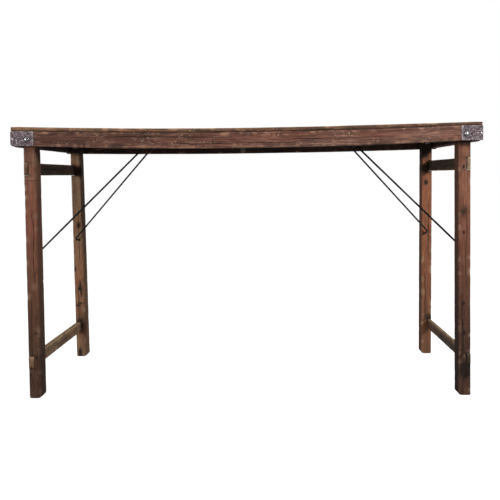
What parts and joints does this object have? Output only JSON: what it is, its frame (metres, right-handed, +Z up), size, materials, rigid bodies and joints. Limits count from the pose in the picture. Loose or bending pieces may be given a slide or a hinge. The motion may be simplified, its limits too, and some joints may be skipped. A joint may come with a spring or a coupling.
{
  "type": "folding table",
  "caption": "Long narrow wooden trestle table with a sagging plank top, iron corner straps, and two leg trestles that fold up under the top past iron brace rods.",
  "frame": {"origin": "on the floor, under the middle of the top", "axes": "+Z up, +X along the top to the right as seen from the front, -Y towards the front"},
  "size_m": [1.3544, 0.7702, 0.795],
  "materials": {
    "top_wood": "old worn brown planks, matt, with a golden rubbed edge",
    "frame_wood": "dark purple-brown stained hardwood, matt, nicked and scratched",
    "leg_wood": "dark red-brown hardwood, matt, with grain and worn edges",
    "pale_wood": "dry dusty pale wood",
    "strap_iron": "pitted grey-purple wrought iron with rust and pale specks",
    "bolt_iron": "hand-rubbed iron with bright high spots",
    "rod_iron": "black iron bar"
  },
  "bodies": {
    "top": {"top_board_1": "top_wood", "top_board_2": "top_wood", "top_board_3": "top_wood", "top_board_4": "top_wood", "top_board_5": "top_wood", "apron_front": "frame_wood", "apron_back": "frame_wood", "end_board_left": "frame_wood", "end_board_right": "frame_wood", "under_batten_left": "frame_wood", "under_batten_right": "frame_wood", "centre_cleat": "pale_wood", "corner_strap_front_left": "strap_iron", "corner_strap_front_right": "strap_iron", "corner_strap_back_left": "strap_iron", "corner_strap_back_right": "strap_iron", "pivot_bolt_front_left": "bolt_iron", "pivot_bolt_front_right": "bolt_iron", "pivot_bolt_back_left": "bolt_iron", "pivot_bolt_back_right": "bolt_iron", "pivot_nut_front_left": "strap_iron", "pivot_nut_front_right": "strap_iron", "pivot_nut_back_left": "strap_iron", "pivot_nut_back_right": "strap_iron", "pivot_washer_front_left": "strap_iron", "pivot_washer_front_right": "strap_iron", "pivot_washer_back_left": "strap_iron", "pivot_washer_back_right": "strap_iron", "strap_nail_front_left_side": "bolt_iron", "strap_nail_front_left_end": "bolt_iron", "strap_nail_front_right_side": "bolt_iron", "strap_nail_front_right_end": "bolt_iron", "strap_nail_back_left_side": "bolt_iron", "strap_nail_back_left_end": "bolt_iron", "strap_nail_back_right_side": "bolt_iron", "strap_nail_back_right_end": "bolt_iron", "rod_staple_front_left": "strap_iron", "rod_staple_front_right": "strap_iron", "rod_staple_back_left": "strap_iron", "rod_staple_back_right": "strap_iron"},
    "trestle_left": {"leg_front_left": "leg_wood", "leg_back_left": "leg_wood", "upper_stretcher_left": "leg_wood", "lower_stretcher_left": "leg_wood", "stretcher_nail_upper_front_left": "bolt_iron", "stretcher_nail_upper_back_left": "bolt_iron", "stretcher_nail_lower_front_left": "bolt_iron", "stretcher_nail_lower_back_left": "bolt_iron"},
    "trestle_right": {"leg_front_right": "leg_wood", "leg_back_right": "leg_wood", "upper_stretcher_right": "leg_wood", "lower_stretcher_right": "leg_wood", "stretcher_nail_upper_front_right": "bolt_iron", "stretcher_nail_upper_back_right": "bolt_iron", "stretcher_nail_lower_front_right": "bolt_iron", "stretcher_nail_lower_back_right": "bolt_iron"},
    "rod_front_left": {"brace_rod_front_left": "rod_iron"},
    "rod_back_left": {"brace_rod_back_left": "rod_iron"},
    "rod_front_right": {"brace_rod_front_right": "rod_iron"},
    "rod_back_right": {"brace_rod_back_right": "rod_iron"}
  },
  "joints": [
    {"name": "trestle_left_fold", "type": "hinge", "parent": "top", "child": "trestle_left", "pos_m": [-0.6285, 0, 0.759], "axis": [0, -1, 0], "range_deg": [0, 87.5]},
    {"name": "trestle_right_fold", "type": "hinge", "parent": "top", "child": "trestle_right", "pos_m": [0.6285, 0, 0.759], "axis": [0, 1, 0], "range_deg": [0, 81.5]},
    {"name": "rod_front_left_swing", "type": "hinge", "parent": "top", "child": "rod_front_left", "pos_m": [-0.313, -0.08, 0.758], "axis": [0, -1, 0], "range_deg": [0, 132]},
    {"name": "rod_back_left_swing", "type": "hinge", "parent": "top", "child": "rod_back_left", "pos_m": [-0.313, 0.08, 0.758], "axis": [0, -1, 0], "range_deg": [0, 133]},
    {"name": "rod_front_right_swing", "type": "hinge", "parent": "top", "child": "rod_front_right", "pos_m": [0.3215, -0.08, 0.758], "axis": [0, 1, 0], "range_deg": [0, 130.6]},
    {"name": "rod_back_right_swing", "type": "hinge", "parent": "top", "child": "rod_back_right", "pos_m": [0.3215, 0.08, 0.758], "axis": [0, 1, 0], "range_deg": [0, 131.5]}
  ]
}
